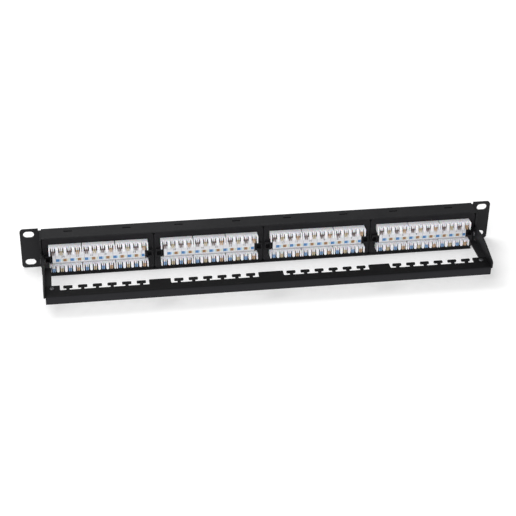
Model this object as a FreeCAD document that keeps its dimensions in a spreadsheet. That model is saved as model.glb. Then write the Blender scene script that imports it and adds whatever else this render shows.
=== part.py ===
import FreeCAD, Part
import Sketcher
import math
import os

# A 19-inch, 1U patch panel with 24 jacks in four modules of six.
# Frame: origin at the centre of the rack-hole pattern on the rear face of the ears,
# +X along the panel, +Y to the rear (punch-down side), +Z up. Millimetres.

SIZES = {
    # steel panel
    "panel_width": 482.6,
    "panel_height": 44.0,
    "steel": 1.5,
    "bend_inside": 1.0,
    "ear_corner": 3.5,
    "ear_inner": 223.0,
    "ear_slot_pitch_x": 465.1,
    "ear_slot_pitch_z": 31.75,
    "ear_slot_length": 10.6,
    "ear_slot_width": 7.0,
    "top_flange_half": 220.2,
    "bottom_flange_half": 218.6,
    "flange_depth": 19.5,
    "side_flange_inner": 220.4,
    "side_flange_half_height": 20.0,
    "lug_radius": 6.0,
    "window_width": 92.6,
    "window_height": 26.6,
    "snap_slot_length": 8.5,
    "snap_slot_width": 2.0,
    "snap_slot_y": 7.5,
    "snap_slot_x": 29.0,
    # six-port module
    "module_pitch": 110.0,
    "module_width": 109.4,
    "module_height": 40.6,
    "wall": 2.0,
    "housing_depth": 16.6,
    "bezel_width": 92.0,
    "bezel_height": 26.0,
    "bezel_proud": 3.0,
    "bezel_edge": 0.6,
    "snap_height": 0.6,
    "snap_length": 7.8,
    "snap_width": 1.5,
    "label_width": 84.0,
    "label_height": 5.0,
    "label_z": 9.2,
    "label_recess": 1.0,
    "label_thickness": 0.3,
    "lens_thickness": 0.6,
    # gang of six jacks
    "port_pitch": 14.06,
    "ports": 6,
    "jack_width": 84.8,
    "jack_bottom": 9.4,
    "jack_top": 4.6,
    "jack_proud": 3.3,
    "jack_gap": 0.1,
    "port_width": 11.7,
    "port_top": 3.2,
    "port_floor": 3.8,
    "port_depth": 13.8,
    "latch_width": 6.4,
    "latch_floor": 5.6,
    "latch_tip_width": 3.6,
    "latch_tip_floor": 7.0,
    "latch_depth": 8.5,
    "latch_overlap": 0.1,
    "contact_pitch": 1.02,
    "contact_thickness": 0.35,
    "contact_roof_gap": 0.05,
    "contact_back_gap": 0.1,
    "contact_nose_y": 0.2,
    "contact_nose_run": 0.35,
    "contact_nose_drop": 0.28,
    "contact_elbow_run": 1.3,
    "contact_elbow_drop": 0.49,
    "contact_tip_y": 8.7,
    "contact_tip_lean": 0.1,
    "contact_tip_drop": 2.2,
    "contacts_per_port": 8,
    # circuit board
    "board_front": 15.0,
    "board_thickness": 1.6,
    "board_width": 104.6,
    "board_height": 35.6,
    "board_corner": 1.0,
    # rear cover
    "cover_thickness": 2.0,
    "cover_window_width": 98.6,
    "cover_window_height": 7.3,
    "cover_corner": 2.0,
    "rib_width": 92.0,
    "rib_bottom": 5.9,
    "rib_top": 6.4,
    "rib_rear": 21.9,
    "tab_x": 50.2,
    "tab_inner": 46.9,
    "tab_outer": 53.2,
    "tab_height": 8.6,
    "tab_z": -1.8,
    "tab_rear": 21.0,
    "tab_hole_width": 4.3,
    "tab_hole_height": 5.2,
    "tab_hole_floor": 17.4,
    # punch-down blocks
    "block_pitch": 32.67,
    "block_width": 32.4,
    "block_height": 7.0,
    "upper_row_z": 10.5,
    "lower_row_z": -9.9,
    "tooth_tip": 27.2,
    "slot_floor": 22.2,
    "slot_pitch": 4.0,
    "slots_per_block": 8,
    "slot_width": 1.3,
    "slot_mouth": 2.7,
    "slot_lead_in": 2.2,
    "tooth_bevel_height": 1.7,
    "tooth_bevel_depth": 3.0,
    "block_corner": 0.9,
    "fork_width": 1.2,
    "fork_thickness": 0.4,
    "fork_tip": 25.6,
    "fork_slit": 0.3,
    "fork_offset": 1.1,
    "fork_lead_in": 0.9,
    "fork_root": 0.8,
    # colour-code strip between the rows
    "strip_width": 91.0,
    "strip_thickness": 0.3,
    "strip_bottom": 5.8,
    "strip_top": 6.3,
    # cable bar
    "bar_top": -3.0,
    "bar_half": 218.2,
    "bar_front": 66.5,
    "bar_rear": 86.5,
    "bar_lip_bottom": -11.1,
    "notch_root": 74.8,
    "notch_inner_start": 12.2,
    "notch_inner_end": 98.0,
    "notch_outer_start": 119.0,
    "notch_outer_end": 204.4,
    "hook_width": 9.0,
    "hook_front": 67.2,
    "hook_head": 3.3,
    "hook_stem": 3.2,
    "hook_corner": 1.2,
    "hook_overlap": 0.5,
    "notch_corner": 0.8,
    "bar_rivet_x": 212.0,
    "bar_rivet_y": 72.3,
    # side arms
    "arm_outer": 220.1,
    "arm_flange_inner": 212.3,
    "arm_flange_start": 31.5,
    "arm_pad_inner": 206.0,
    "arm_pad_start": 68.0,
    "arm_pad_slope": 4.0,
    "arm_rear": 85.0,
    "pivot_y": 26.5,
    "pivot_z": 0.5,
    "arm_front_radius": 6.5,
    "arm_crest_y": 62.0,
    "arm_crest_z": 7.8,
    "arm_crest_radius": 75.0,
    "arm_nose_y": 83.0,
    "arm_nose_z": 2.6,
    "arm_nose_radius": 2.2,
    # rivets
    "rivet_radius": 1.5,
    "rivet_head_radius": 2.4,
    "rivet_head_height": 1.1,
    "rivet_head_edge": 0.4,
    "rivet_tail_radius": 2.1,
    "rivet_tail_height": 0.5,
    "pivot_play": 0.05,
    "pivot_gap": 0.2,
    # how far a cutting sketch runs past the material
    "overrun": 1.0,
}

MODULES = (1, 2, 3, 4)
SIDES = {"left": -1, "right": 1}
TINY = 1e-9
NEAR = 0.01

doc = FreeCAD.newDocument("patch_panel")
nodes = []


class Length:
    """A number together with the sheet expression that it comes from."""

    def __init__(self, value, text):
        self.value = float(value)
        self.text = text

    def combine(self, other, sign, value):
        return Length(value, "(%s %s %s)" % (self.text, sign, other.text))

    def __add__(self, other):
        other = length(other)
        return self.combine(other, "+", self.value + other.value)

    def __sub__(self, other):
        other = length(other)
        return self.combine(other, "-", self.value - other.value)

    def __mul__(self, other):
        other = length(other)
        return self.combine(other, "*", self.value * other.value)

    def __truediv__(self, other):
        other = length(other)
        return self.combine(other, "/", self.value / other.value)

    def __radd__(self, other):
        return length(other) + self

    def __rsub__(self, other):
        return length(other) - self

    def __rmul__(self, other):
        return length(other) * self

    def __neg__(self):
        return Length(-self.value, "(0 - %s)" % self.text)


def length(value):
    """Plain numbers join in a sum as they are."""
    return value if isinstance(value, Length) else Length(value, repr(value))


class Sheet:
    """The driving dimensions, one spreadsheet row each, read by name."""

    def __init__(self, sizes):
        self.sheet = doc.addObject("Spreadsheet::Sheet", "Sizes")
        for row, (name, value) in enumerate(sizes.items(), start=1):
            self.sheet.set("A%d" % row, name)
            self.sheet.set("B%d" % row, str(value))
            self.sheet.setAlias("B%d" % row, name)
        doc.recompute()

    def __getattr__(self, name):
        return Length(SIZES[name], "Sizes.%s" % name)


s = Sheet(SIZES)


# ---------------------------------------------------------------- sketch helpers


def vector(corner):
    return FreeCAD.Vector(length(corner[0]).value, length(corner[1]).value, 0)


def fix_point(sketch, edge, end, corner):
    """Hold one end of an edge at a corner measured from the sketch's origin."""
    for value, kind, own_axis in ((corner[0], "DistanceX", -2), (corner[1], "DistanceY", -1)):
        place = length(value)
        if abs(place.value) < TINY:
            sketch.addConstraint(Sketcher.Constraint("PointOnObject", edge, end, own_axis))
            continue
        if place.value > 0:
            rule = Sketcher.Constraint(kind, -1, 1, edge, end, place.value)
        else:
            place = -place
            rule = Sketcher.Constraint(kind, edge, end, -1, 1, place.value)
        number = sketch.addConstraint(rule)
        sketch.setExpression("Constraints[%d]" % number, place.text)


def arc_between(start, end, radius, side):
    """The short arc from start to end whose centre lies to the left (1) or right (-1)."""
    chord = end - start
    half = chord.Length / 2
    rise = math.sqrt(max(0.0, radius * radius - half * half))
    left = FreeCAD.Vector(-chord.y, chord.x, 0).normalize()
    centre = (start + end) * 0.5 + left * (rise * side)
    first, last = (start, end) if side > 0 else (end, start)
    angles = [math.atan2(p.y - centre.y, p.x - centre.x) for p in (first, last)]
    circle = Part.Circle(centre, FreeCAD.Vector(0, 0, 1), radius)
    return Part.ArcOfCircle(circle, angles[0], angles[1])


def outline(sketch, corners, arcs=None):
    """Close a loop through corners. arcs maps an edge's number to (radius, side)."""
    arcs = arcs or {}
    first = sketch.GeometryCount
    count = len(corners)
    ends = []
    for i in range(count):
        start = vector(corners[i])
        end = vector(corners[(i + 1) % count])
        if i in arcs:
            radius, side = arcs[i]
            sketch.addGeometry(arc_between(start, end, length(radius).value, side), False)
            ends.append((1, 2) if side > 0 else (2, 1))
        else:
            sketch.addGeometry(Part.LineSegment(start, end), False)
            ends.append((1, 2))
    for i in range(count):
        after = (i + 1) % count
        rule = Sketcher.Constraint("Coincident", first + i, ends[i][1], first + after, ends[after][0])
        sketch.addConstraint(rule)
    for i, corner in enumerate(corners):
        fix_point(sketch, first + i, ends[i][0], corner)
    for i, (radius, side) in arcs.items():
        number = sketch.addConstraint(Sketcher.Constraint("Radius", first + i, length(radius).value))
        sketch.setExpression("Constraints[%d]" % number, length(radius).text)


def rectangle(sketch, left, bottom, right, top):
    outline(sketch, [(left, bottom), (right, bottom), (right, top), (left, top)])


def long_slot(sketch, x, y, size, width):
    """A slot with round ends, size long over all, along the sketch's first axis."""
    r = width / 2
    run = size / 2 - r
    corners = [
        (x - run, y - r),
        (x + run, y - r),
        (x + run + r, y),
        (x + run, y + r),
        (x - run, y + r),
        (x - run - r, y),
    ]
    outline(sketch, corners, {1: (r, 1), 2: (r, 1), 4: (r, 1), 5: (r, 1)})


def circle(sketch, x, y, radius):
    centre = vector((x, y))
    number = sketch.addGeometry(Part.Circle(centre, FreeCAD.Vector(0, 0, 1), length(radius).value), False)
    fix_point(sketch, number, 3, (x, y))
    rule = sketch.addConstraint(Sketcher.Constraint("Radius", number, length(radius).value))
    sketch.setExpression("Constraints[%d]" % rule, length(radius).text)


# ---------------------------------------------------------------- body helpers


def new_body(label):
    body = doc.addObject("PartDesign::Body", label)
    body.Label = label
    nodes.append(body)
    return body


def place_on_module(node, module):
    """Slide a sub-part, drawn about x = 0, to its module's centre."""
    shift = s.module_pitch * (module - 2.5)
    node.setExpression("Placement.Base.x", shift.text)


def new_sketch(body, plane, offset=0):
    """A sketch on one of the body's own origin planes, moved along that plane's normal."""
    sketch = body.newObject("Sketcher::SketchObject", "sketch")
    support = next(f for f in body.Origin.OriginFeatures if f.Role == plane)
    sketch.AttachmentSupport = [(support, "")]
    sketch.MapMode = "FlatFace"
    offset = length(offset)
    sketch.AttachmentOffset = FreeCAD.Placement(FreeCAD.Vector(0, 0, offset.value), FreeCAD.Rotation())
    sketch.setExpression("AttachmentOffset.Base.z", offset.text)
    return sketch


def pad(body, sketch, depth, reverse=False, both=False):
    feature = body.newObject("PartDesign::Pad", "pad")
    feature.Profile = sketch
    feature.setExpression("Length", length(depth).text)
    feature.Reversed = reverse
    feature.Midplane = both
    doc.recompute()
    return feature


def pocket(body, sketch, depth=None, reverse=False, both=False):
    """Cut a sketch away to a depth, or right through. The volume has to fall."""
    before = body.Shape.Volume
    feature = body.newObject("PartDesign::Pocket", "pocket")
    feature.Profile = sketch
    if depth is None:
        feature.Type = 1
    else:
        feature.setExpression("Length", length(depth).text)
    feature.Reversed = reverse
    feature.Midplane = both
    doc.recompute()
    if body.Shape.Volume > before - TINY:
        raise RuntimeError("a pocket in %s cuts nothing" % body.Label)
    return feature


def repeat(body, feature, step, count):
    """A row of a feature along X."""
    pattern = body.newObject("PartDesign::LinearPattern", "pattern")
    pattern.Originals = [feature]
    along = next(f for f in body.Origin.OriginFeatures if f.Role == "X_Axis")
    pattern.Direction = (along, [""])
    count = length(count)
    pattern.Mode = "Spacing"
    pattern.setExpression("Offset", length(step).text)
    pattern.Occurrences = round(count.value)
    pattern.setExpression("Occurrences", count.text)
    body.Tip = pattern
    doc.recompute()
    return pattern


def round_edges(body, radius, wanted, kind="PartDesign::Fillet"):
    """Fillet, or chamfer, the edges whose middle point passes a test."""
    base = body.Tip
    names = []
    for number, edge in enumerate(base.Shape.Edges, start=1):
        middle = edge.CenterOfMass
        if wanted(edge, middle):
            names.append("Edge%d" % number)
    if not names:
        raise RuntimeError("no edge to round in %s" % body.Label)
    feature = body.newObject(kind, "rounding")
    feature.Base = (base, names)
    feature.setExpression("Radius" if kind.endswith("Fillet") else "Size", length(radius).text)
    doc.recompute()
    return feature


def runs_along(edge, axis):
    """True for a straight edge parallel to axis."""
    if not isinstance(edge.Curve, Part.Line):
        return False
    direction = edge.Curve.Direction
    return abs(abs(getattr(direction, axis)) - 1) < 1e-6


# ---------------------------------------------------------------- steel panel


def folded_flange(body, half_length, side, depth):
    """A flange bent back from the plate, at the top (side 1) or the bottom (side -1)."""
    inner = s.bend_inside
    outer = s.bend_inside + s.steel
    edge = s.panel_height / 2
    straight = edge - outer
    sketch = new_sketch(body, "YZ_Plane")
    corners = [
        (-s.steel, straight * side),
        (inner, edge * side),
        (depth, edge * side),
        (depth, (edge - s.steel) * side),
        (inner, (edge - s.steel) * side),
        (length(0), straight * side),
    ]
    outline(sketch, corners, {0: (outer, -side), 4: (inner, side)})
    return pad(body, sketch, half_length * 2, both=True)


def front_panel():
    body = new_body("front_panel")
    half_width = s.panel_width / 2
    half_height = s.panel_height / 2
    straight = half_height - s.bend_inside - s.steel

    plate = new_sketch(body, "XZ_Plane")
    corners = []
    for x_sign, z_sign in ((-1, -1), (1, -1), (1, 1), (-1, 1)):
        corner = [
            (half_width * x_sign, half_height * z_sign),
            (s.ear_inner * x_sign, half_height * z_sign),
            (s.ear_inner * x_sign, straight * z_sign),
        ]
        corners += corner if x_sign == z_sign else corner[::-1]
    outline(plate, corners)
    pad(body, plate, s.steel)

    windows = new_sketch(body, "XZ_Plane")
    for module in MODULES:
        centre = s.module_pitch * (module - 2.5)
        rectangle(
            windows,
            centre - s.window_width / 2,
            -s.window_height / 2,
            centre + s.window_width / 2,
            s.window_height / 2,
        )
    pocket(body, windows, s.steel * 3, both=True)

    ears = new_sketch(body, "XZ_Plane")
    for x_sign in (-1, 1):
        for z_sign in (-1, 1):
            long_slot(
                ears,
                s.ear_slot_pitch_x / 2 * x_sign,
                s.ear_slot_pitch_z / 2 * z_sign,
                s.ear_slot_length,
                s.ear_slot_width,
            )
    pocket(body, ears, s.steel * 3, both=True)

    round_edges(
        body,
        s.ear_corner,
        lambda edge, p: runs_along(edge, "y") and abs(abs(p.x) - half_width.value) < NEAR,
    )

    folded_flange(body, s.top_flange_half, 1, s.flange_depth)
    folded_flange(body, s.bottom_flange_half, -1, s.flange_depth)

    snaps = new_sketch(body, "XY_Plane")
    for module in MODULES:
        for side in (-1, 1):
            x = s.module_pitch * (module - 2.5) + s.snap_slot_x * side
            half = s.snap_slot_length / 2
            rise = s.snap_slot_width / 2
            rectangle(snaps, x - half, s.snap_slot_y - rise, x + half, s.snap_slot_y + rise)
    pocket(body, snaps, s.panel_height * 2, both=True)

    # end flanges, each with a round lug that carries an arm's pivot
    for side in (-1, 1):
        inner = s.side_flange_inner * side
        flange = new_sketch(body, "YZ_Plane", inner)
        high = s.side_flange_half_height
        r = s.lug_radius
        corners = [
            (length(0), -high),
            (s.flange_depth, -high),
            (s.flange_depth, s.pivot_z - r),
            (s.pivot_y, s.pivot_z - r),
            (s.pivot_y + r, s.pivot_z),
            (s.pivot_y, s.pivot_z + r),
            (s.flange_depth, s.pivot_z + r),
            (s.flange_depth, high),
            (length(0), high),
        ]
        outline(flange, corners, {3: (r, 1), 4: (r, 1)})
        pad(body, flange, s.steel, reverse=side < 0)
    pivots = new_sketch(body, "YZ_Plane")
    circle(pivots, s.pivot_y, s.pivot_z, s.rivet_radius)
    pocket(body, pivots, s.panel_width * 2, both=True)
    return body


# ---------------------------------------------------------------- six-port module


def module_housing(module):
    """Black shell behind one window of the panel: bezel, walls and snap tabs."""
    body = new_body("module_%d_housing" % module)
    half_w = s.module_width / 2
    half_h = s.module_height / 2

    shell = new_sketch(body, "XZ_Plane")
    rectangle(shell, -half_w, -half_h, half_w, half_h)
    pad(body, shell, s.housing_depth, reverse=True)

    inside = new_sketch(body, "XZ_Plane", -s.housing_depth)
    rectangle(inside, s.wall - half_w, s.wall - half_h, half_w - s.wall, half_h - s.wall)
    pocket(body, inside, s.housing_depth - s.wall, reverse=True)

    # the long front edges clear the inside of the panel's bends
    round_edges(
        body,
        s.bend_inside,
        lambda edge, p: runs_along(edge, "x")
        and abs(p.y) < NEAR
        and abs(abs(p.z) - half_h.value) < NEAR,
        "PartDesign::Chamfer",
    )

    bezel = new_sketch(body, "XZ_Plane")
    rectangle(bezel, -s.bezel_width / 2, -s.bezel_height / 2, s.bezel_width / 2, s.bezel_height / 2)
    pad(body, bezel, s.bezel_proud)
    round_edges(body, s.bezel_edge, lambda edge, p: abs(p.y + s.bezel_proud.value) < NEAR)

    aperture = new_sketch(body, "XZ_Plane")
    rectangle(
        aperture,
        -s.jack_width / 2 - s.jack_gap,
        -s.jack_bottom - s.jack_gap,
        s.jack_width / 2 + s.jack_gap,
        s.jack_top + s.jack_gap,
    )
    pocket(body, aperture, s.housing_depth, both=True)

    recess = new_sketch(body, "XZ_Plane", s.bezel_proud)
    rectangle(
        recess,
        -s.label_width / 2,
        s.label_z - s.label_height / 2,
        s.label_width / 2,
        s.label_z + s.label_height / 2,
    )
    pocket(body, recess, s.label_recess)

    # snap tabs that stand in the slots of the top and bottom flanges
    for z_side in (-1, 1):
        tabs = new_sketch(body, "XY_Plane", half_h * z_side)
        for x_side in (-1, 1):
            x = s.snap_slot_x * x_side
            half = s.snap_length / 2
            rise = s.snap_width / 2
            rectangle(tabs, x - half, s.snap_slot_y - rise, x + half, s.snap_slot_y + rise)
        pad(body, tabs, s.snap_height, reverse=z_side < 0)
    place_on_module(body, module)
    return body


def jack_gang(module):
    """One moulding with the six sockets of a module, each with a stepped latch notch."""
    body = new_body("module_%d_jacks" % module)
    block = new_sketch(body, "XZ_Plane", s.jack_proud)
    rectangle(block, -s.jack_width / 2, -s.jack_bottom, s.jack_width / 2, s.jack_top)
    pad(body, block, s.jack_proud + s.board_front, reverse=True)

    first = -s.port_pitch * (s.ports - 1) / 2
    socket = new_sketch(body, "XZ_Plane", s.jack_proud)
    rectangle(
        socket,
        first - s.port_width / 2,
        -s.port_floor,
        first + s.port_width / 2,
        s.port_top,
    )
    repeat(body, pocket(body, socket, s.port_depth), s.port_pitch, s.ports)

    latch = new_sketch(body, "XZ_Plane", s.jack_proud)
    step = s.latch_width / 2
    tip = s.latch_tip_width / 2
    corners = [
        (first - step, -s.port_floor + s.latch_overlap),
        (first - step, -s.latch_floor),
        (first - tip, -s.latch_floor),
        (first - tip, -s.latch_tip_floor),
        (first + tip, -s.latch_tip_floor),
        (first + tip, -s.latch_floor),
        (first + step, -s.latch_floor),
        (first + step, -s.port_floor + s.latch_overlap),
    ]
    outline(latch, corners)
    repeat(body, pocket(body, latch, s.latch_depth), s.port_pitch, s.ports)
    place_on_module(body, module)
    return body


def jack_contacts(module):
    """Eight hairpin springs under the roof of each socket."""
    roof = s.port_top.value - s.contact_roof_gap.value
    thick = s.contact_thickness.value
    back = s.port_depth.value - s.jack_proud.value - s.contact_back_gap.value
    nose = s.contact_nose_y.value
    shoulder = nose + s.contact_nose_run.value
    elbow = nose + s.contact_elbow_run.value
    tip = s.contact_tip_y.value
    profile = [
        (back, roof),
        (shoulder, roof),
        (nose, roof - s.contact_nose_drop.value),
        (shoulder, roof - 2 * s.contact_nose_drop.value),
        (tip, roof - s.contact_tip_drop.value),
        (tip + s.contact_tip_lean.value, roof - s.contact_tip_drop.value + thick),
        (elbow, roof - s.contact_elbow_drop.value),
        (elbow, roof - thick),
        (back, roof - thick),
    ]
    points = [FreeCAD.Vector(0, y, z) for y, z in profile]
    face = Part.Face(Part.makePolygon(points + points[:1]))
    spring = face.extrude(FreeCAD.Vector(thick, 0, 0))
    springs = []
    middle_port = (SIZES["ports"] - 1) / 2
    middle_pin = (SIZES["contacts_per_port"] - 1) / 2
    for port in range(SIZES["ports"]):
        centre = s.port_pitch.value * (port - middle_port) - thick / 2
        for pin in range(SIZES["contacts_per_port"]):
            x = centre + s.contact_pitch.value * (pin - middle_pin)
            springs.append(spring.translated(FreeCAD.Vector(x, 0, 0)))
    return compound("module_%d_jack_contacts" % module, springs, module)


def compound(label, solids, module=None):
    """A node that is a group of separate solids."""
    node = doc.addObject("Part::Feature", label)
    node.Label = label
    node.Shape = Part.makeCompound(solids)
    if module is not None:
        place_on_module(node, module)
    nodes.append(node)
    return node


def circuit_board(module):
    body = new_body("module_%d_circuit_board" % module)
    sketch = new_sketch(body, "XZ_Plane", -s.board_front)
    rectangle(sketch, -s.board_width / 2, -s.board_height / 2, s.board_width / 2, s.board_height / 2)
    pad(body, sketch, s.board_thickness, reverse=True)
    round_edges(body, s.board_corner, lambda edge, p: runs_along(edge, "y"))
    place_on_module(body, module)
    return body


def rear_cover(module):
    """Black plate that closes the module behind, with a rib between the two rows."""
    body = new_body("module_%d_rear_cover" % module)
    half_w = s.module_width / 2
    half_h = s.module_height / 2
    rear = s.housing_depth + s.cover_thickness

    plate = new_sketch(body, "XZ_Plane", -s.housing_depth)
    rectangle(plate, -half_w, -half_h, half_w, half_h)
    pad(body, plate, s.cover_thickness, reverse=True)
    round_edges(
        body,
        s.cover_corner,
        lambda edge, p: runs_along(edge, "y"),
        "PartDesign::Chamfer",
    )

    windows = new_sketch(body, "XZ_Plane", -rear)
    for row in (s.upper_row_z, s.lower_row_z):
        rectangle(
            windows,
            -s.cover_window_width / 2,
            row - s.cover_window_height / 2,
            s.cover_window_width / 2,
            row + s.cover_window_height / 2,
        )
    pocket(body, windows, s.cover_thickness * 3, both=True)

    rib = new_sketch(body, "XZ_Plane", -rear)
    rectangle(rib, -s.rib_width / 2, -s.rib_bottom, s.rib_width / 2, s.rib_top)
    pad(body, rib, s.rib_rear - rear, reverse=True)

    # a raised frame round a square latch window at each end
    frames = new_sketch(body, "XZ_Plane", -rear)
    holes = new_sketch(body, "XZ_Plane", -s.tab_rear)
    middle = (s.tab_inner + s.tab_outer) / 2
    for side in (-1, 1):
        for sketch, x, wide, high in (
            (frames, middle * side, s.tab_outer - s.tab_inner, s.tab_height),
            (holes, s.tab_x * side, s.tab_hole_width, s.tab_hole_height),
        ):
            rectangle(sketch, x - wide / 2, s.tab_z - high / 2, x + wide / 2, s.tab_z + high / 2)
    pad(body, frames, s.tab_rear - rear, reverse=True)
    pocket(body, holes, s.tab_rear - s.tab_hole_floor, reverse=True)
    place_on_module(body, module)
    return body


def punch_block_row(module, row_name, row_z):
    """Three toothed blocks in a row, each with eight wire slots."""
    body = new_body("module_%d_%s_blocks" % (module, row_name))
    board_rear = s.board_front + s.board_thickness
    half_w = s.block_width / 2
    bottom = row_z - s.block_height / 2
    top = row_z + s.block_height / 2
    centres = [s.block_pitch * number for number in (-1, 0, 1)]

    base = new_sketch(body, "XZ_Plane", -board_rear)
    for centre in centres:
        rectangle(base, centre - half_w, bottom, centre + half_w, top)
    pad(body, base, s.tooth_tip - board_rear, reverse=True)

    # the end of each tooth is bevelled away underneath
    bevel = new_sketch(body, "YZ_Plane")
    corners = [
        (s.tooth_tip + s.overrun, bottom - s.overrun),
        (s.tooth_tip + s.overrun, bottom + s.tooth_bevel_height),
        (s.tooth_tip, bottom + s.tooth_bevel_height),
        (s.tooth_tip - s.tooth_bevel_depth, bottom),
        (s.tooth_tip - s.tooth_bevel_depth, bottom - s.overrun),
    ]
    outline(bevel, corners)
    pocket(body, bevel, s.module_width, both=True)
    round_edges(
        body,
        s.block_corner,
        lambda edge, p: runs_along(edge, "x")
        and abs(p.z - top.value) < NEAR
        and p.y > s.slot_floor.value,
    )

    # wire slots, run through from top to bottom, with a tapered mouth
    slots = new_sketch(body, "XY_Plane", row_z)
    mouth = s.slot_mouth / 2
    neck = s.slot_width / 2
    for centre in centres:
        x = centre - s.slot_pitch * (s.slots_per_block - 1) / 2
        corners = [
            (x - neck, s.slot_floor),
            (x + neck, s.slot_floor),
            (x + neck, s.tooth_tip - s.slot_lead_in),
            (x + mouth, s.tooth_tip),
            (x + mouth, s.tooth_tip + s.overrun),
            (x - mouth, s.tooth_tip + s.overrun),
            (x - mouth, s.tooth_tip),
            (x - neck, s.tooth_tip - s.slot_lead_in),
        ]
        outline(slots, corners)
    cut = pocket(body, slots, s.block_height * 2, both=True)
    repeat(body, cut, s.slot_pitch, s.slots_per_block)
    place_on_module(body, module)
    return body


def wire_forks(module):
    """The slit metal blade that stands across each wire slot, 48 to a module."""
    base = s.slot_floor.value
    wide = s.fork_width.value / 2
    slit = s.fork_slit.value / 2
    tip = s.fork_tip.value
    thick = s.fork_thickness.value
    lead_in = s.fork_lead_in.value
    root = base + s.fork_root.value
    profile = [
        (-wide, base),
        (wide, base),
        (wide, tip),
        (slit, tip - lead_in),
        (slit, root),
        (-slit, root),
        (-slit, tip - lead_in),
        (-wide, tip),
    ]
    points = [FreeCAD.Vector(x, y, -thick / 2) for x, y in profile]
    face = Part.Face(Part.makePolygon(points + points[:1]))
    fork = face.extrude(FreeCAD.Vector(0, 0, thick))
    forks = []
    middle = (SIZES["slots_per_block"] - 1) / 2
    for row in (s.upper_row_z.value, s.lower_row_z.value):
        for block in (-1, 0, 1):
            for slot in range(SIZES["slots_per_block"]):
                x = s.block_pitch.value * block + s.slot_pitch.value * (slot - middle)
                z = row + s.fork_offset.value * (1 if slot % 2 else -1)
                forks.append(fork.translated(FreeCAD.Vector(x, 0, z)))
    return compound("module_%d_wire_forks" % module, forks, module)


def flat_card(module, name, width, bottom, top, front, thickness):
    """A thin plate that stands upright, its lower face of y at front."""
    body = new_body("module_%d_%s" % (module, name))
    sketch = new_sketch(body, "XZ_Plane", -front)
    rectangle(sketch, -width / 2, bottom, width / 2, top)
    pad(body, sketch, thickness, reverse=True)
    place_on_module(body, module)
    return body


# ---------------------------------------------------------------- cable manager


def cable_bar():
    """Folded bar across the back, with six T-shaped hooks in each of four notches."""
    body = new_body("cable_bar")
    inner = s.bend_inside
    outer = s.bend_inside + s.steel
    profile = new_sketch(body, "YZ_Plane")
    corners = [
        (s.bar_front, s.bar_top - s.steel),
        (s.bar_rear - outer, s.bar_top - s.steel),
        (s.bar_rear - s.steel, s.bar_top - outer),
        (s.bar_rear - s.steel, s.bar_lip_bottom),
        (s.bar_rear, s.bar_lip_bottom),
        (s.bar_rear, s.bar_top - outer),
        (s.bar_rear - outer, s.bar_top),
        (s.bar_front, s.bar_top),
    ]
    outline(profile, corners, {1: (inner, -1), 5: (outer, 1)})
    pad(body, profile, s.bar_half * 2, both=True)

    notches = new_sketch(body, "XY_Plane", s.bar_top)
    for start, end in (
        (-s.notch_outer_end, -s.notch_outer_start),
        (-s.notch_inner_end, -s.notch_inner_start),
        (s.notch_inner_start, s.notch_inner_end),
        (s.notch_outer_start, s.notch_outer_end),
    ):
        r = s.notch_corner
        corners = [
            (start - r, s.bar_front - s.overrun),
            (end + r, s.bar_front - s.overrun),
            (end + r, s.bar_front),
            (end, s.bar_front + r),
            (end, s.notch_root - r),
            (end - r, s.notch_root),
            (start + r, s.notch_root),
            (start, s.notch_root - r),
            (start, s.bar_front + r),
            (start - r, s.bar_front),
        ]
        outline(notches, corners, {2: (r, -1), 4: (r, 1), 6: (r, 1), 8: (r, -1)})
    pocket(body, notches, s.steel * 4, both=True)

    hooks = new_sketch(body, "XY_Plane", s.bar_top)
    for middle in (
        -(s.notch_outer_start + s.notch_outer_end) / 2,
        -(s.notch_inner_start + s.notch_inner_end) / 2,
        (s.notch_inner_start + s.notch_inner_end) / 2,
        (s.notch_outer_start + s.notch_outer_end) / 2,
    ):
        x = middle - s.port_pitch * (s.ports - 1) / 2
        head = s.hook_width / 2
        stem = s.hook_stem / 2
        r = s.hook_corner
        under = s.hook_front + s.hook_head
        corners = [
            (x - head + r, s.hook_front),
            (x + head - r, s.hook_front),
            (x + head, s.hook_front + r),
            (x + head, under - r),
            (x + head - r, under),
            (x + stem, under),
            (x + stem, s.notch_root + s.hook_overlap),
            (x - stem, s.notch_root + s.hook_overlap),
            (x - stem, under),
            (x - head + r, under),
            (x - head, under - r),
            (x - head, s.hook_front + r),
        ]
        outline(hooks, corners, {1: (r, 1), 3: (r, 1), 9: (r, 1), 11: (r, 1)})
    repeat(body, pad(body, hooks, s.steel, reverse=True), s.port_pitch, s.ports)

    rivets = new_sketch(body, "XY_Plane", s.bar_top)
    for side in (-1, 1):
        circle(rivets, s.bar_rivet_x * side, s.bar_rivet_y, s.rivet_radius)
    pocket(body, rivets, s.steel * 4, both=True)
    return body


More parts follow.
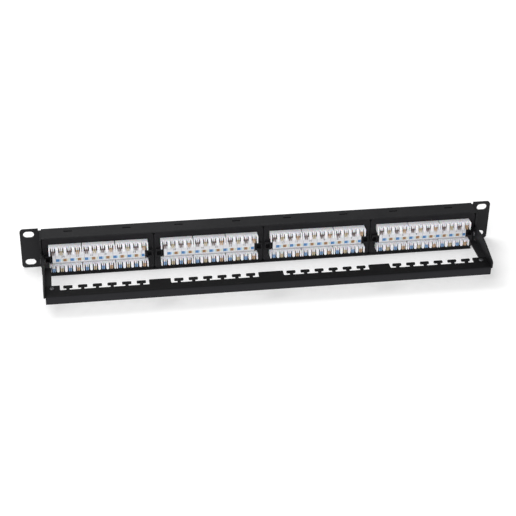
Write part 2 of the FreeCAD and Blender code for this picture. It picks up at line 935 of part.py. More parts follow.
def side_arm(name, side):
    """Upright wall that swings on the pivot rivet, with an inward flange under the bar."""
    body = new_body("arm_%s" % name)
    bottom = s.bar_top - s.steel * 2
    r = s.arm_front_radius
    nose = s.arm_nose_radius

    wall = new_sketch(body, "YZ_Plane", s.arm_outer * side)
    corners = [
        (s.pivot_y, bottom),
        (s.arm_rear - nose, bottom),
        (s.arm_rear, bottom + nose),
        (s.arm_rear, s.arm_nose_z - nose),
        (s.arm_nose_y, s.arm_nose_z),
        (s.arm_crest_y, s.arm_crest_z),
        (s.pivot_y, s.pivot_z + r),
        (s.pivot_y - r, s.pivot_z),
    ]
    outline(
        wall,
        corners,
        {1: (nose, 1), 3: (nose, 1), 5: (s.arm_crest_radius, 1), 6: (r, 1), 7: (r, 1)},
    )
    pad(body, wall, s.steel, reverse=side > 0)

    flange = new_sketch(body, "XY_Plane", bottom)
    wall_inner = (s.arm_outer - s.steel / 2) * side
    corners = [
        (wall_inner, s.arm_flange_start),
        (s.arm_flange_inner * side, s.arm_flange_start),
        (s.arm_flange_inner * side, s.arm_pad_start - s.arm_pad_slope),
        (s.arm_pad_inner * side, s.arm_pad_start),
        (s.arm_pad_inner * side, s.arm_rear - nose),
        (wall_inner, s.arm_rear - nose),
    ]
    outline(flange, corners)
    pad(body, flange, s.steel)
    # outside of the bend between the wall and the flange
    outer = s.arm_outer * side
    bend = new_sketch(body, "XZ_Plane", -s.arm_flange_start)
    corners = [
        (outer, bottom),
        (outer, bottom + s.steel),
        (outer - s.steel * side, bottom),
    ]
    outline(bend, corners, {1: (s.steel, -side)})
    pocket(body, bend, s.arm_rear - nose - s.arm_flange_start)

    pivot = new_sketch(body, "YZ_Plane")
    circle(pivot, s.pivot_y, s.pivot_z, s.rivet_radius + s.pivot_play)
    pocket(body, pivot, s.panel_width * 2, both=True)
    hole = new_sketch(body, "XY_Plane", bottom)
    circle(hole, s.bar_rivet_x * side, s.bar_rivet_y, s.rivet_radius)
    pocket(body, hole, s.steel * 4, both=True)
    return body


def rivet_solid(grip):
    """A rivet along +Z: domed head above zero, shank down through grip, pressed tail."""
    head_r = s.rivet_head_radius.value
    head_h = s.rivet_head_height.value
    tail_r = s.rivet_tail_radius.value
    tail_h = s.rivet_tail_height.value
    edge = s.rivet_head_edge.value
    dome = Part.makeCylinder(head_r, head_h, FreeCAD.Vector(0, 0, 0))
    dome = dome.makeFillet(head_h - edge, [dome.Edges[0]])
    shank = Part.makeCylinder(s.rivet_radius.value, grip, FreeCAD.Vector(0, 0, -grip))
    tail = Part.makeCylinder(tail_r, tail_h, FreeCAD.Vector(0, 0, -grip - tail_h))
    return dome.fuse([shank, tail]).removeSplitter()


def bar_rivets():
    """One rivet through the bar and each arm's pad."""
    grip = 2 * SIZES["steel"]
    solids = []
    for side in (-1, 1):
        place = FreeCAD.Vector(s.bar_rivet_x.value * side, s.bar_rivet_y.value, s.bar_top.value)
        solids.append(rivet_solid(grip).translated(place))
    return compound("bar_rivets", solids)


def pivot_rivets():
    """One rivet through each arm and end flange, with its head on the inside."""
    inner_face = s.arm_outer.value - s.steel.value - s.pivot_gap.value
    grip = s.side_flange_inner.value + s.steel.value - inner_face
    solids = []
    for side in (-1, 1):
        turn = FreeCAD.Rotation(FreeCAD.Vector(0, 0, 1), FreeCAD.Vector(-side, 0, 0))
        place = FreeCAD.Vector(inner_face * side, s.pivot_y.value, s.pivot_z.value)
        rivet = rivet_solid(grip)
        rivet.Placement = FreeCAD.Placement(place, turn)
        solids.append(rivet)
    return compound("pivot_rivets", solids)


# ---------------------------------------------------------------- assembly


def build():
    front_panel()
    for module in MODULES:
        module_housing(module)
        jack_gang(module)
        jack_contacts(module)
        circuit_board(module)
        rear_cover(module)
        punch_block_row(module, "upper", s.upper_row_z)
        punch_block_row(module, "lower", s.lower_row_z)
        wire_forks(module)
        flat_card(
            module,
            "colour_strip",
            s.strip_width,
            -s.strip_bottom,
            s.strip_top,
            s.rib_rear,
            s.strip_thickness,
        )
        label_rear = s.label_recess - s.bezel_proud
        label_bottom = s.label_z - s.label_height / 2
        label_top = s.label_z + s.label_height / 2
        flat_card(
            module,
            "port_label",
            s.label_width,
            label_bottom,
            label_top,
            label_rear - s.label_thickness,
            s.label_thickness,
        )
        flat_card(
            module,
            "label_window",
            s.label_width,
            label_bottom,
            label_top,
            label_rear - s.label_thickness - s.lens_thickness,
            s.lens_thickness,
        )
    cable_bar()
    for name, side in SIDES.items():
        side_arm(name, side)
    bar_rivets()
    pivot_rivets()
    doc.recompute()


def check():
    """Stop before anything is written if a feature failed or a solid is bad."""
    for item in doc.Objects:
        if {"Invalid", "Error"} & set(item.State):
            raise RuntimeError("%s is %s" % (item.Label, item.State))
    for node in nodes:
        if node.Shape.isNull() or not node.Shape.isValid():
            raise RuntimeError("%s has no valid shape" % node.Label)


def export():
    os.makedirs("parts", exist_ok=True)
    for node in nodes:
        node.Shape.exportStep("parts/%s.step" % node.Label)


build()
check()
export()
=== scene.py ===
import math

import bmesh
import bpy
from mathutils import Euler, Matrix, Vector


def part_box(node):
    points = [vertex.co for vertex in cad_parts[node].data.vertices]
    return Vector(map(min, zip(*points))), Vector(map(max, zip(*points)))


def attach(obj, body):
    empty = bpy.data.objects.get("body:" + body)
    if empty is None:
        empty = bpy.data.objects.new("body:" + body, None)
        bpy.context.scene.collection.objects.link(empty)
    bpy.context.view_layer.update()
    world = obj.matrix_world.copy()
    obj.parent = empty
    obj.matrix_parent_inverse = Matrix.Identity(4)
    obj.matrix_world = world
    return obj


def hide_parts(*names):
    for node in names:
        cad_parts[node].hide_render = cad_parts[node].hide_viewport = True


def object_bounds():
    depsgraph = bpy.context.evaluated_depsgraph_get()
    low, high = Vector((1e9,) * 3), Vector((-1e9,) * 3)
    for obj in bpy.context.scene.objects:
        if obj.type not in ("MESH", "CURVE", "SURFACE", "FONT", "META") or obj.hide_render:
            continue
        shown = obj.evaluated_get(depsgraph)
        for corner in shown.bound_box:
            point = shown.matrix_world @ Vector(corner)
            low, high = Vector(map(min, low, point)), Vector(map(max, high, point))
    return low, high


MM = 0.001
MODULES = (1, 2, 3, 4)
PORTS = 6
PORT_PITCH = 14.06 * MM

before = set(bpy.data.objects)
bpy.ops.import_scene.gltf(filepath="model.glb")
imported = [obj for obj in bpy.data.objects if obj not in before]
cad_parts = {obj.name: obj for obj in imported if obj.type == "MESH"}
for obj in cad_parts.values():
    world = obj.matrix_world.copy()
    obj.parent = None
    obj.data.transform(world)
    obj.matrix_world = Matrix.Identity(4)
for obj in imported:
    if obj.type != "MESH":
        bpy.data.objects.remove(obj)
cad_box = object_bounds()
scene = bpy.context.scene


# ---------------------------------------------------------------- materials


class Paint:
    """A Principled material under construction. Positions are the piece's own, in metres."""

    def __init__(self, name, colour, roughness, **sockets):
        self.material = bpy.data.materials.new(name)
        self.material.use_nodes = True
        self.material.diffuse_color = (*colour, 1)
        self.tree = self.material.node_tree
        self.shader = self.tree.nodes["Principled BSDF"]
        self.place = self.node("ShaderNodeTexCoord").outputs["Object"]
        self.shader.inputs["Base Color"].default_value = (*colour, 1)
        self.shader.inputs["Roughness"].default_value = roughness
        for socket, value in sockets.items():
            self.shader.inputs[socket.replace("_", " ")].default_value = value

    def node(self, kind, inputs=(), **settings):
        made = self.tree.nodes.new(kind)
        for key, value in settings.items():
            setattr(made, key, value)
        for key, value in dict(inputs).items():
            if isinstance(value, bpy.types.NodeSocket):
                self.tree.links.new(value, made.inputs[key])
            else:
                made.inputs[key].default_value = value
        return made

    def noise(self, size, detail=2.0, stretch=(1, 1, 1)):
        """Soft noise whose blobs are about size metres across."""
        moved = self.node("ShaderNodeMapping", {"Vector": self.place, "Scale": stretch})
        grain = self.node(
            "ShaderNodeTexNoise",
            {"Vector": moved.outputs[0], "Scale": 1 / size, "Detail": detail},
        )
        return grain.outputs["Fac"]

    def ramp(self, value, *stops):
        """value mapped through (position, colour) stops."""
        made = self.node("ShaderNodeValToRGB", {"Fac": value})
        band = made.color_ramp
        while len(band.elements) < len(stops):
            band.elements.new(0.5)
        for element, (position, colour) in zip(band.elements, stops):
            element.position = position
            element.color = (*colour, 1)
        return made.outputs["Color"]

    def mix(self, factor, first, second, blend="MIX"):
        """first where factor is 0, blended with second where it is 1."""
        made = self.node("ShaderNodeMix", data_type="RGBA", blend_type=blend)
        # a Mix node has one set of sockets for each kind of value; 6, 7 and 2 are for colours
        sockets = (made.inputs[0], made.inputs[6], made.inputs[7])
        for socket, value in zip(sockets, (factor, first, second)):
            if isinstance(value, bpy.types.NodeSocket):
                self.tree.links.new(value, socket)
            elif isinstance(value, tuple):
                socket.default_value = (*value, 1)
            else:
                socket.default_value = value
        return made.outputs[2]

    def math(self, operation, first, second=0.0):
        made = self.node("ShaderNodeMath", operation=operation)
        for socket, value in zip(made.inputs, (first, second)):
            if isinstance(value, bpy.types.NodeSocket):
                self.tree.links.new(value, socket)
            else:
                socket.default_value = value
        return made.outputs[0]

    def edges(self, radius, low=0.80, high=0.995):
        """1 on edges sharper than radius, 0 on flat faces, and the rounded normal."""
        soft = self.node("ShaderNodeBevel", {"Radius": radius}, samples=4).outputs[0]
        true = self.node("ShaderNodeNewGeometry").outputs["Normal"]
        same = self.node("ShaderNodeVectorMath", {0: soft, 1: true}, operation="DOT_PRODUCT")
        edge_wear_and_sheen = self.node(
            "ShaderNodeMapRange",
            {
                "Value": same.outputs["Value"],
                "From Min": low,
                "From Max": high,
                "To Min": 1.0,
                "To Max": 0.0,
            },
        )
        return edge_wear_and_sheen.outputs[0], soft

    def bump(self, height, depth, strength, normal=None):
        """A normal that follows height, up to depth metres deep."""
        inputs = {"Height": height, "Distance": depth, "Strength": strength}
        if normal is not None:
            inputs["Normal"] = normal
        return self.node("ShaderNodeBump", inputs).outputs[0]

    def link(self, value, socket):
        self.tree.links.new(value, self.shader.inputs[socket])

    def rough(self, value, low, high):
        """Roughness that follows value from low to high."""
        spread = self.node("ShaderNodeMapRange", {"Value": value, "To Min": low, "To Max": high})
        self.link(spread.outputs[0], "Roughness")


def coated_steel(name, light, gloss, lip=None):
    """Fine-textured black powder coat, lighter along the sheared edges, partly from thinner coat and
    partly as a painted edge highlight.

    lip is (start y, end y, lightness) for a folded lip painted lighter: painted light, as its upright
    face catches more light than the flat top.
    """
    p = Paint(name, (light, light, light * 1.12), 0.46, Specular_IOR_Level=gloss)
    edge_wear_and_sheen, soft = p.edges(0.35 * MM)
    low, high = light * 0.8, light * 1.25
    body = p.ramp(
        p.noise(38 * MM, 3),
        (0.30, (low, low, low * 1.14)),
        (0.72, (high, high, high * 1.10)),
    )
    # sheared edges painted lighter: partly coat wear, partly a painted edge highlight
    edge_chips_and_sheen = p.ramp(
        p.noise(2.2 * MM, 4),
        (0.40, (0.014, 0.014, 0.016)),
        (0.75, (0.045, 0.046, 0.050)),
    )
    # painted light: the folded lip's upright face painted lighter than the flat top
    if lip:
        lip_start, lip_end, lip_sheen_lightness = lip
        split = p.node("ShaderNodeSeparateXYZ", {"Vector": p.place})
        near = p.node(
            "ShaderNodeMapRange",
            {"Value": split.outputs["Y"], "From Min": lip_start, "From Max": lip_end},
            interpolation_type="SMOOTHSTEP",
        )
        body = p.mix(near.outputs[0], body, (lip_sheen_lightness, lip_sheen_lightness, lip_sheen_lightness * 1.12))
    p.link(p.mix(edge_wear_and_sheen, body, edge_chips_and_sheen), "Base Color")
    p.rough(p.noise(9 * MM, 4), 0.38, 0.56)
    p.link(p.bump(p.noise(0.42 * MM, 3), 0.05 * MM, 0.45, soft), "Normal")
    return p.material


def rivet_metal():
    """Blackened steel, rubbed a little lighter round the edges of the heads."""
    p = Paint("rivet_blackened_steel", (0.10, 0.10, 0.105), 0.36, Metallic=0.85)
    edge_wear_and_sheen, soft = p.edges(0.5 * MM, 0.70, 0.99)
    patina = p.ramp(
        p.noise(0.9 * MM, 4),
        (0.35, (0.045, 0.046, 0.050)),
        (0.70, (0.19, 0.19, 0.20)),
    )
    rubbed = p.ramp(
        p.noise(0.5 * MM, 3),
        (0.30, (0.12, 0.12, 0.125)),
        (0.80, (0.26, 0.26, 0.27)),
    )
    p.link(p.mix(edge_wear_and_sheen, patina, rubbed), "Base Color")
    p.rough(p.noise(0.6 * MM, 3), 0.24, 0.48)
    p.link(p.bump(p.noise(0.25 * MM, 3), 0.03 * MM, 0.5, soft), "Normal")
    return p.material


def moulded_black(name, light, rough, grain_depth):
    """Injection-moulded black plastic: spark-eroded grain, flow marks and edges painted lighter as a
    painted highlight.
    """
    p = Paint(name, (light, light * 0.95, light * 1.12), rough, Specular_IOR_Level=0.20)
    edge_wear_and_sheen, soft = p.edges(0.25 * MM)
    low, high = light * 0.8, light * 1.35
    body = p.ramp(
        p.noise(16 * MM, 3, (1, 0.6, 2.2)),
        (0.30, (low, low * 0.95, low * 1.15)),
        (0.75, (high, high * 0.96, high * 1.10)),
    )
    # painted highlight: edges painted lighter, standing in for light catching them
    painted_edge_highlight = (light * 2.6, light * 2.55, light * 2.8)
    p.link(p.mix(edge_wear_and_sheen, body, painted_edge_highlight), "Base Color")
    p.rough(p.noise(5 * MM, 3), rough - 0.08, rough + 0.08)
    p.link(p.bump(p.noise(0.16 * MM, 2), grain_depth, 0.6, soft), "Normal")
    return p.material


def block_white():
    """Satin white polycarbonate, faintly translucent, with slow changes of tone and fine specks."""
    p = Paint(
        "punch_block_white",
        (0.86, 0.855, 0.885),
        0.34,
        Subsurface_Weight=0.12,
        Subsurface_Scale=0.8 * MM,
        Specular_IOR_Level=0.45,
    )
    tone = p.ramp(p.noise(11 * MM, 3), (0.30, (0.83, 0.83, 0.875)), (0.75, (0.90, 0.895, 0.91)))
    speck = p.ramp(p.noise(0.7 * MM, 3), (0.28, (0.74, 0.73, 0.76)), (0.42, (1.0, 1.0, 1.0)))
    p.link(p.mix(0.55, tone, speck, "MULTIPLY"), "Base Color")
    p.rough(p.noise(3 * MM, 3), 0.26, 0.42)
    p.link(p.bump(p.noise(0.35 * MM, 2), 0.02 * MM, 0.5), "Normal")
    return p.material


def print_ink(name, colour, fade=0.25):
    """Printed ink with uneven cover."""
    p = Paint(name, colour, 0.5)
    pale = tuple(c + (0.8 - c) * fade for c in colour)
    p.link(p.ramp(p.noise(0.45 * MM, 4), (0.35, colour), (0.80, pale)), "Base Color")
    p.rough(p.noise(0.3 * MM, 2), 0.42, 0.60)
    p.link(p.bump(p.noise(0.12 * MM, 2), 0.008 * MM, 0.5), "Normal")
    return p.material


def card(name, colour):
    """Coated card: fibres just visible under a dull varnish."""
    p = Paint(name, colour, 0.52)
    warm = tuple(c * 0.93 for c in colour)
    fibre = p.noise(0.5 * MM, 4, (0.35, 1, 1))
    p.link(p.ramp(fibre, (0.32, warm), (0.68, colour)), "Base Color")
    p.rough(p.noise(4 * MM, 2), 0.44, 0.60)
    p.link(p.bump(fibre, 0.012 * MM, 0.5), "Normal")
    return p.material


def plated(name, dark, bright, rough):
    """Plated spring metal, drawn lengthways, with tarnish in the low spots."""
    p = Paint(name, bright, rough, Metallic=1.0)
    p.link(p.ramp(p.noise(0.8 * MM, 4), (0.30, dark), (0.70, bright)), "Base Color")
    p.rough(p.noise(0.5 * MM, 3, (1, 0.2, 1)), rough - 0.08, rough + 0.10)
    p.link(p.bump(p.noise(0.10 * MM, 2, (1, 0.1, 1)), 0.01 * MM, 0.5), "Normal")
    return p.material


def board_green():
    """Green solder mask over copper tracks, bare glass-fibre at the cut edges."""
    p = Paint("solder_mask_green", (0.015, 0.11, 0.045), 0.3, Coat_Weight=0.4, Coat_Roughness=0.15)
    split = p.node("ShaderNodeSeparateXYZ", {"Vector": p.place})
    across = p.math("FRACT", p.math("DIVIDE", split.outputs["X"], 1.27 * MM))
    track = p.math("LESS_THAN", across, 0.42)
    cloud = p.noise(7 * MM, 3)
    mask = p.ramp(cloud, (0.30, (0.010, 0.085, 0.035)), (0.75, (0.020, 0.130, 0.055)))
    copper = p.ramp(cloud, (0.30, (0.035, 0.160, 0.060)), (0.75, (0.055, 0.200, 0.080)))
    p.link(p.mix(track, mask, copper), "Base Color")
    p.link(p.bump(track, 0.03 * MM, 0.6), "Normal")
    p.rough(p.noise(3 * MM, 3), 0.24, 0.40)
    return p.material


def clear_plastic():
    """Clear polycarbonate, slightly wavy from moulding."""
    p = Paint("window_clear", (0.86, 0.89, 0.92), 0.06, IOR=1.58, Alpha=0.14)
    p.rough(p.noise(2.5 * MM, 3), 0.03, 0.12)
    p.link(p.bump(p.noise(6 * MM, 2), 0.05 * MM, 0.25), "Normal")
    return p.material


arm_coat = coated_steel("powder_coat_arm", light=0.0085, gloss=0.20)
rivet_steel = rivet_metal()
white = block_white()
strip_card = card("strip_card", (0.80, 0.80, 0.83))
inks = {
    "blue": print_ink("ink_blue", (0.040, 0.19, 0.44), 0.12),
    "orange": print_ink("ink_orange", (0.29, 0.145, 0.045), 0.12),
    "pale_blue": print_ink("ink_pale_blue", (0.34, 0.56, 0.80)),
    "pale_green": print_ink("ink_pale_green", (0.42, 0.62, 0.50)),
    "pale_tan": print_ink("ink_pale_tan", (0.70, 0.58, 0.42)),
    "grey": print_ink("ink_grey", (0.22, 0.22, 0.25)),
    "black": print_ink("ink_black", (0.03, 0.03, 0.035), 0.12),
}
tooth_inks = {
    "blue": print_ink("tooth_blue", (0.17, 0.33, 0.58)),
    "tan": print_ink("tooth_tan", (0.52, 0.43, 0.26)),
    "rust": print_ink("tooth_rust", (0.52, 0.33, 0.18)),
    "brown": print_ink("tooth_brown", (0.13, 0.080, 0.072)),
}
# painted shade: a dark grey sheet as the slots' floor, standing in for the shade deep inside the open
# slots
slot_shade = moulded_black("slot_floor_painted_shade", light=0.060, rough=0.6, grain_depth=0.02 * MM)
# the bar's folded lip, painted lighter as painted light on its upright face: where the lighter paint
# starts and is complete along Y, and its lightness
BAR_LIP_SHEEN = (84.6 * MM, 86.3 * MM, 0.0185)

FINISHES = {
    "front_panel": coated_steel("powder_coat_panel", light=0.0115, gloss=0.20),
    "cable_bar": coated_steel("powder_coat_bar", light=0.0036, gloss=0.10, lip=BAR_LIP_SHEEN),
    "arm_left": arm_coat,
    "arm_right": arm_coat,
    "bar_rivets": rivet_steel,
    "pivot_rivets": rivet_steel,
    "rear_cover": moulded_black("cover_black", light=0.0090, rough=0.52, grain_depth=0.03 * MM),
    "housing": moulded_black("housing_black", light=0.0085, rough=0.50, grain_depth=0.03 * MM),
    "jacks": moulded_black("jack_black", light=0.0125, rough=0.34, grain_depth=0.012 * MM),
    "jack_contacts": plated("contact_gold", (0.55, 0.36, 0.10), (0.90, 0.68, 0.28), 0.24),
    "circuit_board": board_green(),
    "upper_blocks": white,
    "lower_blocks": white,
    "wire_forks": plated("fork_tinned_bronze", (0.26, 0.19, 0.13), (0.60, 0.50, 0.38), 0.34),
    "colour_strip": strip_card,
    "port_label": card("label_card", (0.86, 0.86, 0.84)),
    "label_window": clear_plastic(),
}
for name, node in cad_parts.items():
    # a node of a module, module_N_kind, has the finish of its kind
    kind = name if name in FINISHES else name.split("_", 2)[2]
    node.data.materials.clear()
    node.data.materials.append(FINISHES[kind])


# ---------------------------------------------------------------- pieces


def piece(bm, name, materials, replaced=None):
    """bm as a new object on the panel, with the slot's finish, in place of the replaced CAD node."""
    mesh = bpy.data.meshes.new(name)
    bm.to_mesh(mesh)
    bm.free()
    for material in materials:
        mesh.materials.append(material)
    made = bpy.data.objects.new(name, mesh)
    scene.collection.objects.link(made)
    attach(made, "panel")
    if replaced:
        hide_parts(replaced)
    return made


def loft(bm, rings, y_values, material=0):
    """A closed solid through outlines of equal length, each at its own depth y."""
    loops = []
    for ring, y in zip(rings, y_values):
        loops.append([bm.verts.new((x, y, z)) for x, z in ring])
    for near, far in zip(loops, loops[1:]):
        for i in range(len(near)):
            j = (i + 1) % len(near)
            bm.faces.new((near[i], near[j], far[j], far[i])).material_index = material
    for loop in (list(reversed(loops[0])), loops[-1]):
        bm.faces.new(loop).material_index = material


def arc(cx, cz, radius, start, end, steps):
    """Points on an arc in the XZ plane, both ends included, angles in degrees."""
    points = []
    for i in range(steps + 1):
        angle = math.radians(start + (end - start) * i / steps)
        points.append((cx + radius * math.cos(angle), cz + radius * math.sin(angle)))
    return points


def tooth_outline(x, half, low, high):
    """Outline of one tooth: round at its lower end, slightly rounded at its top."""
    tip = 0.92 * half
    cap = min(0.35 * MM, 0.5 * half)
    outline = arc(x - half + cap, high - cap, cap, 180, 90, 2)
    outline += arc(x + half - cap, high - cap, cap, 90, 0, 2)
    outline += arc(x + half - tip, low + tip, tip, 0, -90, 5)
    outline += arc(x - half + tip, low + tip, tip, -90, -180, 5)
    return outline


BLOCK_PITCH = 32.67 * MM
BLOCK_HALF = 15.94 * MM
BLOCK_CORNER = 0.7 * MM
BLOCK_SOLE = 0.3 * MM  # how far the solid base stops above the teeth's lower ends
BLOCK_EDGE = 0.2 * MM  # width of the softened edges
BACK_Y = 16.6 * MM  # back of the base
FLOOR_Y = 23.2 * MM  # front of the base, the floor of the slots
SLOT_FLOOR_PALE = 2.2 * MM  # height of the pale upper part of the slots' floor
PAIRS = 4
SLOT_PITCH = 4.0 * MM
SLOT_HALF = 0.50 * MM
TOOTH_ROOT = 0.1 * MM  # how deep a tooth's root goes into the base
DIVIDER_TIP_Y = 27.2 * MM
DIVIDER_TAPER = 0.22 * MM
SMALL_TIP_Y = 26.6 * MM
SMALL_SPLIT = 0.24 * MM
SMALL_TAPERS = (0.25 * MM, 0.1 * MM)  # towards the slot, towards the split
INK_Y = 24.2 * MM  # the ink covers what stands farther out than this
INK_HEIGHT = {"upper": 4.0 * MM, "lower": 4.4 * MM}
# how far a tooth's lower end rises towards its tip, below 0 where it hangs lower instead
CUT_BACK = {"upper": -1.1 * MM, "lower": 0.3 * MM}
# (share of the tooth's depth, share of its cut-back lower end, how far its top is rounded off)
TOOTH_STEPS = (
    (0.00, 0.00, 0.0),
    (0.35, 0.00, 0.0),
    (0.62, 0.30, 0.0),
    (0.82, 0.60, 0.12 * MM),
    (0.94, 0.85, 0.42 * MM),
    (1.00, 1.00, 0.85 * MM),
)
ROW_INKS = {"upper": ("brown", "tan", "brown", "rust"), "lower": ("blue", "tan", "blue", "rust")}
TOOTH_INKS = ("blue", "tan", "rust", "brown")
SLOT_SHADE = 1 + len(TOOTH_INKS)


def tooth(bm, left, right, tapers, tip_y, row, lo_z, hi_z):
    """The faces of a tooth from left to right that narrows by tapers (left, right) towards its tip."""
    root_y = FLOOR_Y - TOOTH_ROOT
    rings = []
    depths = []
    for share, cut, crown in TOOTH_STEPS:
        narrowing = max(0.0, (share - 0.5) / 0.5)  # only the outer half of the tooth narrows
        near = left + tapers[0] * narrowing
        far = right - tapers[1] * narrowing
        low = lo_z + cut * CUT_BACK[row]
        rings.append(tooth_outline((near + far) / 2, (far - near) / 2, low, hi_z - crown))
        depths.append(root_y + share * (tip_y - root_y))
    first = len(bm.faces)
    loft(bm, rings, depths)
    bm.faces.ensure_lookup_table()
    return bm.faces[first:]


def colour_below(bm, faces, level, beyond_y, slot):
    """Cut the faces at height level and give material slot to what lies lower and beyond beyond_y."""
    parts = dict.fromkeys(part for face in faces for part in (face, *face.edges, *face.verts))
    cut = bmesh.ops.bisect_plane(
        bm, geom=list(parts), plane_co=(0, 0, level), plane_no=(0, 0, 1)
    )
    for part in cut["geom"]:
        if isinstance(part, bmesh.types.BMFace):
            middle = part.calc_center_median()
            if middle.z < level and middle.y > beyond_y:
                part.material_index = slot


def block_base(bm, lo_x, hi_x, lo_z, hi_z):
    """The solid part of a block. Its front is the floor of the slots, painted dark as painted shade
    below a pale top.
    """
    outline = arc(lo_x + BLOCK_CORNER, hi_z - BLOCK_CORNER, BLOCK_CORNER, 180, 90, 3)
    outline += arc(hi_x - BLOCK_CORNER, hi_z - BLOCK_CORNER, BLOCK_CORNER, 90, 0, 3)
    outline += [(hi_x, lo_z + BLOCK_SOLE), (lo_x, lo_z + BLOCK_SOLE)]
    loft(bm, [outline, outline], (BACK_Y, FLOOR_Y))
    bm.faces.ensure_lookup_table()
    colour_below(bm, [bm.faces[-1]], hi_z - SLOT_FLOOR_PALE, BACK_Y, SLOT_SHADE)


def one_block(bm, x, lo_z, hi_z, row):
    """One four-pair block centred on x: a base, five plain dividers and four small split teeth."""
    lo_x, hi_x = x - BLOCK_HALF, x + BLOCK_HALF
    reach = SLOT_PITCH / 2 - SLOT_HALF
    block_base(bm, lo_x, hi_x, lo_z, hi_z)
    for i in range(PAIRS + 1):
        centre = x + (i - PAIRS / 2) * 2 * SLOT_PITCH
        left = max(centre - reach, lo_x)
        right = min(centre + reach, hi_x)
        tapers = (
            0.0 if left == lo_x else DIVIDER_TAPER,
            0.0 if right == hi_x else DIVIDER_TAPER,
        )
        tooth(bm, left, right, tapers, DIVIDER_TIP_Y, row, lo_z, hi_z)
    for i, ink in enumerate(ROW_INKS[row]):
        centre = x + (PAIRS / 2 - 0.5 - i) * 2 * SLOT_PITCH
        outer, inner = SMALL_TAPERS
        halves = (
            (centre - reach, centre - SMALL_SPLIT, (outer, inner)),
            (centre + SMALL_SPLIT, centre + reach, (inner, outer)),
        )
        faces = []
        for left, right, tapers in halves:
            faces += tooth(bm, left, right, tapers, SMALL_TIP_Y, row, lo_z, hi_z)
        colour_below(bm, faces, lo_z + INK_HEIGHT[row], INK_Y, 1 + TOOTH_INKS.index(ink))


def block_row(k, row):
    """The three punch-down blocks of one row of module k."""
    node = f"module_{k}_{row}_blocks"
    lo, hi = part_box(node)
    middle = (lo.x + hi.x) / 2
    bm = bmesh.new()
    for i in (-1, 0, 1):
        one_block(bm, middle + i * BLOCK_PITCH, lo.z, hi.z, row)
    bmesh.ops.recalc_face_normals(bm, faces=bm.faces)
    materials = (white, *(tooth_inks[ink] for ink in TOOTH_INKS), slot_shade)
    made = piece(bm, f"module_{k}_{row}_punch_blocks", materials, node)
    bevel = made.modifiers.new("soft_edges", "BEVEL")
    bevel.width = BLOCK_EDGE
    bevel.segments = 2
    bevel.limit_method = "ANGLE"
    bevel.angle_limit = math.radians(38)
    for face in made.data.polygons:
        face.use_smooth = True
    made.data.set_sharp_from_angle(angle=math.radians(50))


STRIP_CORNER = 0.5 * MM
FACE_INSET = 0.04 * MM  # the card's face, behind the strip's box
INK_ROOT = 0.01 * MM  # how deep the ink goes into the card
INK_INSET = 0.02 * MM  # the ink's face, behind the strip's box
PORT_START = 3.4 * MM  # start of the port nearest the strip's +X end, in from that end
MARK_Z = (-3.9 * MM, -0.8 * MM)
MARK_MARGIN = 0.3 * MM
PORT_LINE = (0.10 * MM, 0.32 * MM)  # upright line, measured from the port's start
PORT_LINE_Z = (-4.6 * MM, 6.0 * MM)
LONG_LINE_Z = (-5.35 * MM, -5.0 * MM)
LONG_LINE_MARGIN = 0.8 * MM
# marks of one port: (nearer end, farther end) in millimetres from the port's start, and ink
MARKS = (
    (0.0, 3.4, "blue"),
    (3.7, 4.8, "pale_blue"),
    (5.6, 6.4, "pale_green"),
    (7.0, 10.3, "orange"),
    (10.5, 11.5, "pale_tan"),
    (12.2, 13.0, "pale_green"),
)


def strip_cells(left, right):
    """(x from, x to, z from, z to, ink) of every printed mark, for a strip from left to right."""
    cells = []
    for port in range(PORTS + 1):
        start = right - PORT_START - port * PORT_PITCH
        cells.append((start + PORT_LINE[0], start + PORT_LINE[1], *PORT_LINE_Z, "grey"))
        for near, far, ink in MARKS:
            x_low = max(start - far * MM, left + MARK_MARGIN)
            if x_low < start - near * MM:
                cells.append((x_low, start - near * MM, *MARK_Z, ink))
    cells.append((left + LONG_LINE_MARGIN, right - LONG_LINE_MARGIN, *LONG_LINE_Z, "grey"))
    return cells


def colour_strip(k):
    """Printed card between the two rows of module k, each mark a thin film on its face."""
    node = f"module_{k}_colour_strip"
    lo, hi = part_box(node)
    bm = bmesh.new()
    outline = arc(lo.x + STRIP_CORNER, hi.z - STRIP_CORNER, STRIP_CORNER, 180, 90, 3)
    outline += arc(hi.x - STRIP_CORNER, hi.z - STRIP_CORNER, STRIP_CORNER, 90, 0, 3)
    outline += arc(hi.x - STRIP_CORNER, lo.z + STRIP_CORNER, STRIP_CORNER, 0, -90, 3)
    outline += arc(lo.x + STRIP_CORNER, lo.z + STRIP_CORNER, STRIP_CORNER, -90, -180, 3)
    face_y = hi.y - FACE_INSET
    loft(bm, [outline, outline], (lo.y, face_y))
    middle = (lo.x + hi.x) / 2
    cells = strip_cells(lo.x - middle, hi.x - middle)
    names = sorted({ink for *_, ink in cells})
    for x1, x2, z1, z2, ink in cells:
        film = [(middle + x, z) for x, z in ((x1, z2), (x2, z2), (x2, z1), (x1, z1))]
        loft(bm, [film, film], (face_y - INK_ROOT, hi.y - INK_INSET), 1 + names.index(ink))
    bmesh.ops.recalc_face_normals(bm, faces=bm.faces)
    materials = (strip_card, *(inks[ink] for ink in names))
    piece(bm, f"module_{k}_printed_strip", materials, node)


NUMBER_HALF_THICKNESS = 0.01 * MM
SIZE_TO_HEIGHT = 1.4  # of the built-in font
STRIP_NUMBER_Z = 1.7 * MM
STRIP_NUMBER_HEIGHT = 2.3 * MM
LABEL_NUMBER_Z = 9.2 * MM
LABEL_NUMBER_HEIGHT = 3.0 * MM


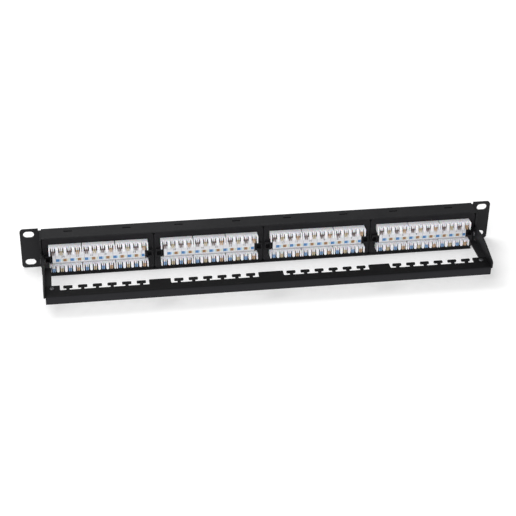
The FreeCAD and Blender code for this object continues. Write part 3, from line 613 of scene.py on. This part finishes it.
def printed_numbers(name, entries, height, y, turn):
    """Numbers as one thin piece: (number, x, z) entries centred on their points, facing along Y."""
    bm = bmesh.new()
    for number, x, z in entries:
        curve = bpy.data.curves.new("digits", "FONT")
        curve.body = str(number)
        curve.size = height * SIZE_TO_HEIGHT
        curve.align_x = "CENTER"
        curve.align_y = "CENTER"
        curve.resolution_u = 3
        curve.extrude = NUMBER_HALF_THICKNESS
        text = bpy.data.objects.new("digits", curve)
        flat = bpy.data.meshes.new_from_object(text)
        flat.transform(Euler((math.radians(90), 0, turn)).to_matrix().to_4x4())
        flat.transform(Matrix.Translation((x, y, z)))
        bm.from_mesh(flat)
        bpy.data.objects.remove(text)
        bpy.data.curves.remove(curve)
        bpy.data.meshes.remove(flat)
    piece(bm, name, (inks["black"],))


def module_numbers(k):
    """The port numbers of module k, on the strip behind and on the label in front."""
    strip_lo, strip_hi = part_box(f"module_{k}_colour_strip")
    label_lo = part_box(f"module_{k}_port_label")[0]
    middle = (strip_lo.x + strip_hi.x) / 2
    rear = []
    front = []
    for port in range(PORTS):
        number = (k - 1) * PORTS + port + 1
        x = middle + (port - (PORTS - 1) / 2) * PORT_PITCH
        rear.append((number, x, STRIP_NUMBER_Z))
        front.append((number, x, LABEL_NUMBER_Z))
    printed_numbers(
        f"module_{k}_strip_numbers",
        rear,
        STRIP_NUMBER_HEIGHT,
        strip_hi.y - NUMBER_HALF_THICKNESS,
        math.pi,
    )
    printed_numbers(
        f"module_{k}_port_numbers",
        front,
        LABEL_NUMBER_HEIGHT,
        label_lo.y - 2 * NUMBER_HALF_THICKNESS,
        0.0,
    )


for k in MODULES:
    block_row(k, "upper")
    block_row(k, "lower")
    colour_strip(k)
    module_numbers(k)


# ---------------------------------------------------------------- floor, light and camera


FLOOR_REACH = 6.0  # metres, from the middle to each side
FLOOR_GAP = 0.1 * MM  # below the object's lowest point


def studio_floor(level):
    """A large pale floor with a barely uneven tone."""
    bm = bmesh.new()
    bmesh.ops.create_grid(bm, x_segments=8, y_segments=8, size=FLOOR_REACH)
    mesh = bpy.data.meshes.new("floor")
    bm.to_mesh(mesh)
    bm.free()
    floor = bpy.data.objects.new("floor", mesh)
    floor.location.z = level
    scene.collection.objects.link(floor)
    p = Paint(
        "floor_white", (0.8, 0.8, 0.8), 0.8, Specular_IOR_Level=0.1, Emission_Strength=0.3
    )
    p.shader.inputs["Emission Color"].default_value = (1.0, 1.0, 1.0, 1)
    tone = p.ramp(p.noise(0.3, 2), (0.3, (0.79, 0.79, 0.79)), (0.7, (0.81, 0.81, 0.81)))
    p.link(tone, "Base Color")
    mesh.materials.append(p.material)


def area_light(name, place, target, width, height, watts, glossy=True):
    """A rectangular softbox at place that faces target. Where not glossy, no gloss reflects it."""
    data = bpy.data.lights.new(name, "AREA")
    data.shape = "RECTANGLE"
    data.size = width
    data.size_y = height
    data.energy = watts
    light = bpy.data.objects.new(name, data)
    light.location = place
    light.rotation_euler = (Vector(target) - Vector(place)).to_track_quat("-Z", "Y").to_euler()
    light.visible_glossy = glossy
    scene.collection.objects.link(light)


def studio_world(bright, dim):
    """Even white surroundings, brighter towards +X and +Y than on the opposite side."""
    world = bpy.data.worlds.new("studio")
    world.use_nodes = True
    tree = world.node_tree
    background = tree.nodes["Background"]
    background.inputs["Color"].default_value = (1.0, 1.0, 1.0, 1)
    place = tree.nodes.new("ShaderNodeTexCoord")
    side = tree.nodes.new("ShaderNodeVectorMath")
    side.operation = "DOT_PRODUCT"
    side.inputs[1].default_value = (0.5, 0.87, 0.0)
    spread = tree.nodes.new("ShaderNodeMapRange")
    spread.inputs["From Min"].default_value = -1.0
    spread.inputs["From Max"].default_value = 1.0
    spread.inputs["To Min"].default_value = dim
    spread.inputs["To Max"].default_value = bright
    tree.links.new(place.outputs["Generated"], side.inputs[0])
    tree.links.new(side.outputs["Value"], spread.inputs["Value"])
    tree.links.new(spread.outputs[0], background.inputs["Strength"])
    return world


studio_floor(cad_box[0].z - FLOOR_GAP)
area_light(
    "key_softbox", (1.0, 1.5, 1.3), (0.0, 0.05, 0.0), width=1.6, height=1.0, watts=18.0
)
area_light(
    "front_softbox",
    (0.3, -1.4, 0.32),
    (0.0, 0.0, 0.0),
    width=1.6,
    height=0.4,
    watts=9.0,
    glossy=False,
)
area_light(
    "overhead_softbox", (0.6, -0.8, 1.6), (0.0, 0.0, 0.0), width=1.6, height=0.6, watts=12.5
)
scene.world = studio_world(bright=0.87, dim=0.25)
scene.view_settings.view_transform = "Standard"

lens = bpy.data.cameras.new("camera")
lens.lens = 90.235
lens.sensor_width = 36.0
lens.clip_start = 0.01
lens.clip_end = 50.0
camera = bpy.data.objects.new("camera", lens)
camera.location = (0.18242, 1.11956, 0.67769)
camera.rotation_euler = [math.radians(a) for a in (58.0763, -0.9508, 171.4315)]
scene.collection.objects.link(camera)
scene.camera = camera
